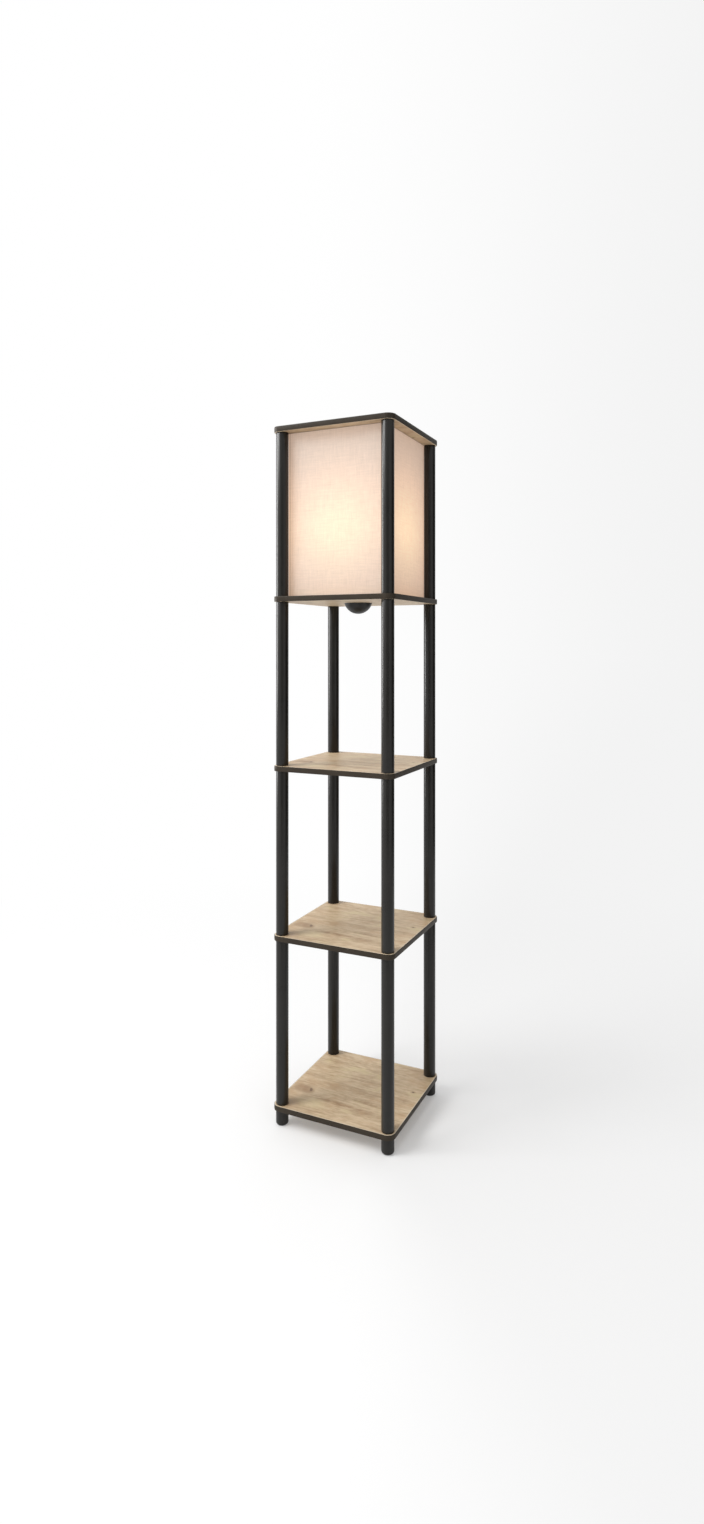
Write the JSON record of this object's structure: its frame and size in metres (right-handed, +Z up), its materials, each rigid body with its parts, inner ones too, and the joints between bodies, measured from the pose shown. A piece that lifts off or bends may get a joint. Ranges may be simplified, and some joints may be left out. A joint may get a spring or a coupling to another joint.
{
  "type": "shelf floor lamp",
  "caption": "Square floor lamp with open shelves between four black posts and a lit fabric shade in the top bay.",
  "frame": {"origin": "on the floor under the middle of the four feet", "axes": "+Z up along the posts, +Y to the back, +X to the right seen from the front"},
  "size_m": [0.3, 0.3, 1.599],
  "materials": {
    "board": "light oak veneer, satin",
    "edge_band": "black edge band, satin",
    "tube": "black powder coat, satin",
    "foot": "black moulded plastic",
    "bolt": "blackened steel",
    "fabric": "ivory linen weave, lit from inside",
    "shade_frame": "white lacquered steel strip",
    "dome": "black lacquer, satin",
    "spring_steel": "pressed spring steel",
    "gland": "black rubber",
    "zinc_steel": "zinc plated",
    "holder": "black phenolic",
    "carrier": "unglazed steatite",
    "brass": "stamped brass",
    "bulb_cap": "nickel plated",
    "bulb_bead": "black glass bead",
    "bulb_body": "white moulded body",
    "diffuser": "opal diffuser, lit",
    "led_board": "white solder mask"
  },
  "bodies": {
    "stand": {"base_board": "board", "base_board_edge_band": "edge_band", "bottom_bay_tube_back_left": "tube", "bottom_bay_tube_back_right": "tube", "bottom_bay_tube_front_left": "tube", "bottom_bay_tube_front_right": "tube", "cable_gland": "gland", "centre_contact": "brass", "contact_carrier": "carrier", "dome_cover": "dome", "dome_spider": "spring_steel", "foot_back_left": "foot", "foot_back_right": "foot", "foot_front_left": "foot", "foot_front_right": "foot", "holder_cup": "holder", "holder_neck": "dome", "holder_sleeve": "holder", "lamp_bay_tube_back_left": "tube", "lamp_bay_tube_back_right": "tube", "lamp_bay_tube_front_left": "tube", "lamp_bay_tube_front_right": "tube", "lamp_floor": "board", "lamp_floor_edge_band": "edge_band", "lower_bay_tube_back_left": "tube", "lower_bay_tube_back_right": "tube", "lower_bay_tube_front_left": "tube", "lower_bay_tube_front_right": "tube", "lower_shelf": "board", "lower_shelf_edge_band": "edge_band", "pipe_nuts": "zinc_steel", "pipe_washer": "zinc_steel", "screw_shell": "brass", "shade_fabric": "fabric", "shade_frame": "shade_frame", "terminal_screws": "brass", "threaded_pipe": "zinc_steel", "top_board": "board", "top_board_bolts": "bolt", "top_board_edge_band": "edge_band", "upper_bay_tube_back_left": "tube", "upper_bay_tube_back_right": "tube", "upper_bay_tube_front_left": "tube", "upper_bay_tube_front_right": "tube", "upper_shelf": "board", "upper_shelf_edge_band": "edge_band"},
    "bulb": {"bulb_cap": "bulb_cap", "bulb_insulator": "bulb_bead", "bulb_tip_contact": "bulb_cap", "bulb_body": "bulb_body", "bulb_diffuser": "diffuser", "led_board": "led_board"}
  },
  "joints": [
    {"name": "bulb_turn", "type": "hinge", "parent": "stand", "child": "bulb", "pos_m": [0, 0, 1.278], "axis": [0, 0, 1], "range_deg": [0, 1620]}
  ]
}
